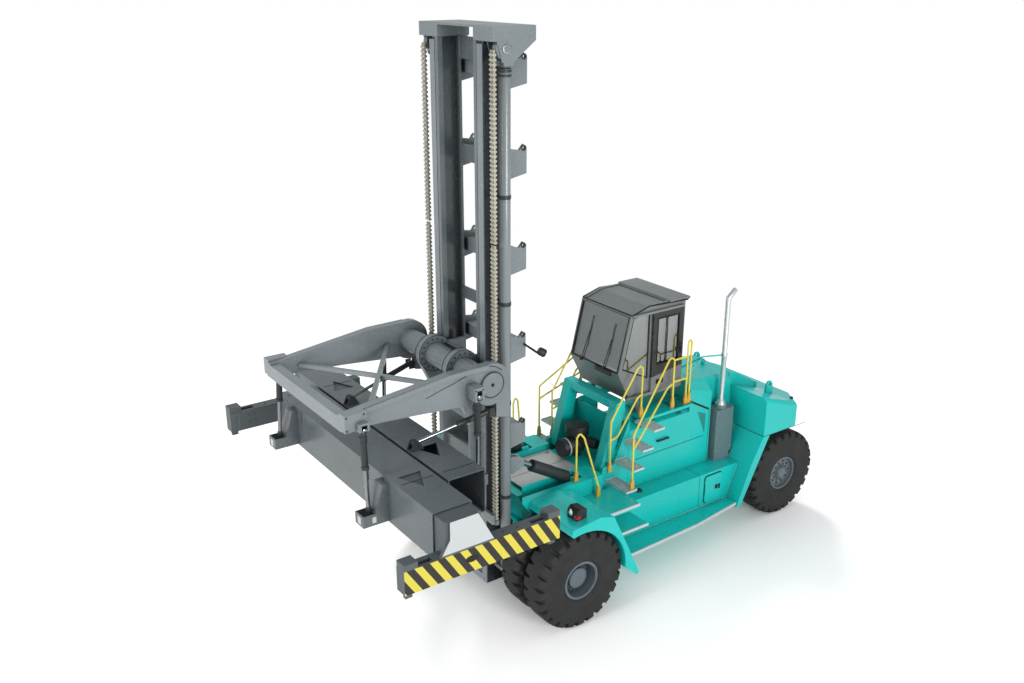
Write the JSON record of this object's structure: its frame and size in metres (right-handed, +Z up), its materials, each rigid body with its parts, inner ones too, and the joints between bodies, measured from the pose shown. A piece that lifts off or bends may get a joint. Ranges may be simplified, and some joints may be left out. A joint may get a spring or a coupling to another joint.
{
  "type": "laden container handler",
  "caption": "Heavy lift truck with a twin mast, sliding spreader on links, raised cab, counterweight and steered rear wheels.",
  "frame": {"origin": "on the ground under the middle of the machine's length, on its centre plane", "axes": "+X toward the spreader, which is the front; +Y to the driver's left; +Z up"},
  "size_m": [9.957, 6.08, 9.17],
  "materials": {
    "tyre": "matte",
    "rim": "satin",
    "body_paint": "gloss",
    "mast_paint": "satin",
    "running_gear": "satin",
    "spreader_paint": "satin",
    "hazard_paint": "satin",
    "chain": "oiled",
    "cab_paint": "satin",
    "door_paint": "satin",
    "glass": "clear",
    "interior": "matte",
    "rail_paint": "gloss",
    "galvanised": "galvanised",
    "exhaust_metal": "satin",
    "black_plastic": "matte",
    "lamp": "gloss",
    "engine": "rough",
    "chrome": "polished"
  },
  "bodies": {
    "machine": {"air_cleaner": "black_plastic", "cab_arch": "body_paint", "cab_glass": "glass", "cab_interior": "interior", "cab_shell": "cab_paint", "chassis_frame": "body_paint", "counterweight": "body_paint", "engine_block": "engine", "exhaust": "exhaust_metal", "front_axle": "running_gear", "front_fenders": "body_paint", "front_lamps": "lamp", "handrails": "rail_paint", "hood_body": "body_paint", "running_boards": "body_paint", "side_boxes": "body_paint", "steer_axle": "running_gear", "step_treads": "galvanised"},
    "front_wheels_left": {"front_tyres_left": "tyre", "front_rims_left": "rim"},
    "front_wheels_right": {"front_tyres_right": "tyre", "front_rims_right": "rim"},
    "knuckle_left": {"knuckle_left": "running_gear"},
    "knuckle_right": {"knuckle_right": "running_gear"},
    "rear_wheel_left": {"rear_tyre_left": "tyre", "rear_rim_left": "rim"},
    "rear_wheel_right": {"rear_tyre_right": "tyre", "rear_rim_right": "rim"},
    "outer_mast": {"mast_outer": "mast_paint", "lift_barrels": "running_gear", "chains_lower": "chain"},
    "inner_mast": {"mast_inner": "mast_paint", "mast_head": "mast_paint", "chains_upper": "chain"},
    "carriage": {"carriage": "mast_paint"},
    "lifting_frame": {"lifting_frame": "mast_paint", "spreader_links": "running_gear", "spreader_beams": "spreader_paint"},
    "end_beam_left": {"end_beam_left": "hazard_paint"},
    "end_beam_right": {"end_beam_right": "hazard_paint"},
    "cab_door": {"cab_door": "door_paint", "cab_door_glass": "glass"},
    "locker_door": {"locker_door": "body_paint"},
    "tilt_barrels": {"tilt_barrels": "running_gear"},
    "tilt_rods": {"tilt_rods": "chrome"}
  },
  "joints": [
    {"name": "front_wheels_left_spin", "type": "hinge", "parent": "machine", "child": "front_wheels_left", "pos_m": [1.2995, 1.5, 0.838], "axis": [0, 1, 0], "continuous": true},
    {"name": "front_wheels_right_spin", "type": "hinge", "parent": "machine", "child": "front_wheels_right", "pos_m": [1.2995, -1.5, 0.838], "axis": [0, 1, 0], "continuous": true},
    {"name": "knuckle_left_steer", "type": "hinge", "parent": "machine", "child": "knuckle_left", "pos_m": [-4.1405, 0.74, 0.838], "axis": [0, 0, 1], "range_deg": [-45, 45]},
    {"name": "knuckle_right_steer", "type": "hinge", "parent": "machine", "child": "knuckle_right", "pos_m": [-4.1405, -0.74, 0.838], "axis": [0, 0, 1], "range_deg": [-45, 45]},
    {"name": "rear_wheel_left_spin", "type": "hinge", "parent": "knuckle_left", "child": "rear_wheel_left", "pos_m": [-4.1405, 1.195, 0.838], "axis": [0, 1, 0], "continuous": true},
    {"name": "rear_wheel_right_spin", "type": "hinge", "parent": "knuckle_right", "child": "rear_wheel_right", "pos_m": [-4.1405, -1.195, 0.838], "axis": [0, 1, 0], "continuous": true},
    {"name": "mast_tilt", "type": "hinge", "parent": "machine", "child": "outer_mast", "pos_m": [1.5995, 0, 0.6], "axis": [0, 1, 0], "range_deg": [-6, 5]},
    {"name": "inner_mast_lift", "type": "slide", "parent": "outer_mast", "child": "inner_mast", "axis": [0, 0, 1], "range_m": [0, 4.5]},
    {"name": "carriage_lift", "type": "slide", "parent": "inner_mast", "child": "carriage", "axis": [0, 0, 1], "range_m": [0, 4.5]},
    {"name": "side_shift", "type": "slide", "parent": "carriage", "child": "lifting_frame", "axis": [0, 1, 0], "range_m": [-0.12, 0.12]},
    {"name": "end_beam_left_reach", "type": "slide", "parent": "lifting_frame", "child": "end_beam_left", "axis": [0, 1, 0], "range_m": [0, 3.067]},
    {"name": "end_beam_right_reach", "type": "slide", "parent": "lifting_frame", "child": "end_beam_right", "axis": [0, -1, 0], "range_m": [0, 3.067]},
    {"name": "cab_door_slide", "type": "slide", "parent": "machine", "child": "cab_door", "axis": [1, 0, 0], "range_m": [0, 0.6]},
    {"name": "locker_door_hinge", "type": "hinge", "parent": "machine", "child": "locker_door", "pos_m": [-2.2505, 1.215, 0.965], "axis": [0, 0, -1], "range_deg": [0, 110]},
    {"name": "tilt_barrels_turn", "type": "hinge", "parent": "machine", "child": "tilt_barrels", "pos_m": [0.4995, 0, 1.84], "axis": [0, 1, 0], "range_deg": [-4.51, 3.76]},
    {"name": "tilt_rods_slide", "type": "slide", "parent": "tilt_barrels", "child": "tilt_rods", "axis": [0.8652, 0, 0.5014], "range_m": [-0.1712, 0.1428]}
  ],
  "couplings": [
    {"joint": "knuckle_right_steer", "follows": "knuckle_left_steer", "ratio": 1},
    {"joint": "carriage_lift", "follows": "inner_mast_lift", "ratio": 1},
    {"joint": "end_beam_right_reach", "follows": "end_beam_left_reach", "ratio": 1},
    {"joint": "tilt_barrels_turn", "follows": "mast_tilt", "ratio": 0.7426},
    {"joint": "tilt_rods_slide", "follows": "mast_tilt", "m_per_rad": 1.6254}
  ]
}
